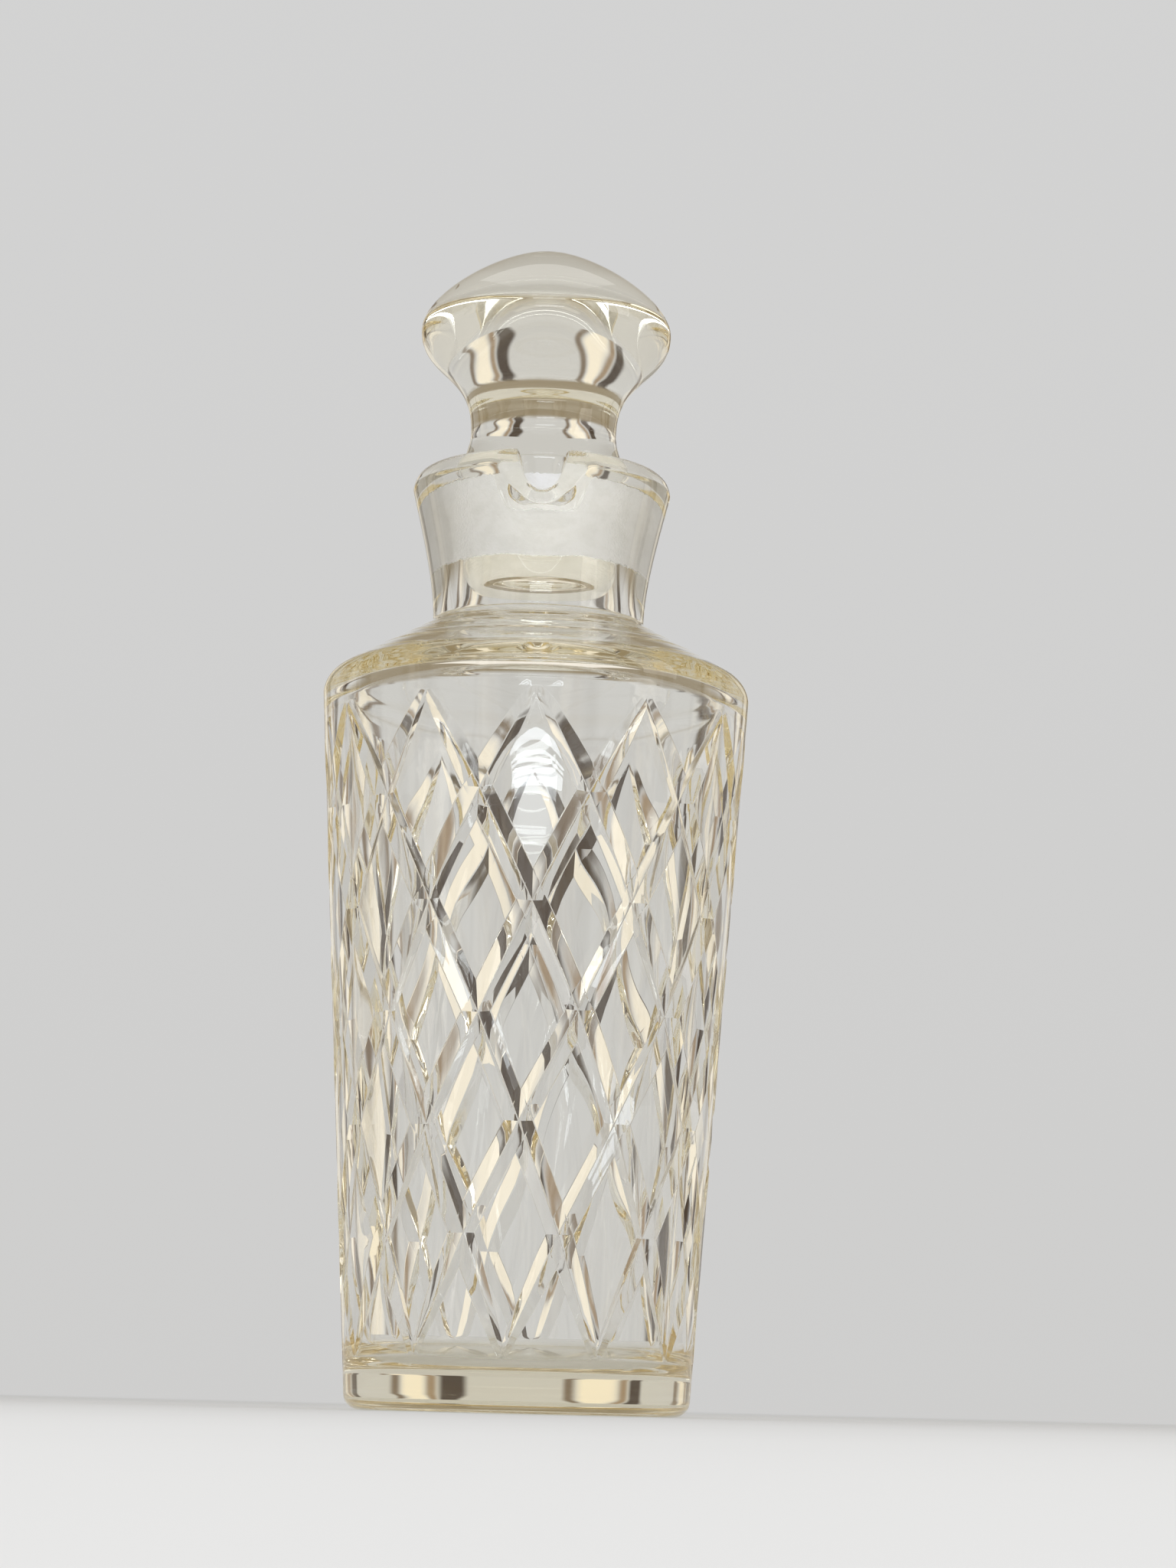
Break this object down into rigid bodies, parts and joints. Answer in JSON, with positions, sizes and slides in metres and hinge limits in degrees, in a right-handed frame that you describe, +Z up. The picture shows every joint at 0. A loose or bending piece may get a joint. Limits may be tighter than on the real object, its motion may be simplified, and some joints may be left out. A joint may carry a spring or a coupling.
{
  "type": "cut glass carafe",
  "caption": "Cut glass carafe with a lattice of mitre cuts round a tapering body, a flared collar with a pouring lip, and a solid ground-in glass stopper that lifts out.",
  "frame": {"origin": "centre of the round base, on the surface that the carafe stands on", "axes": "+Z up along the axis of the bottle and stopper, -Y towards the pouring lip, +X to the right of someone who looks at the lip"},
  "size_m": [0.0948, 0.0948, 0.2604],
  "materials": {
    "bottle_glass": "polished clear glass with a faint straw tint, cut facets, and a frosted ground bore",
    "stopper_glass": "polished solid clear glass with a frosted ground plug"
  },
  "bodies": {
    "bottle": {"carafe_bottle": "bottle_glass"},
    "stopper": {"stopper": "stopper_glass"}
  },
  "joints": [
    {"name": "stopper_lift", "type": "slide", "parent": "bottle", "child": "stopper", "axis": [0, 0, 1], "range_m": [0, 0.05]}
  ]
}
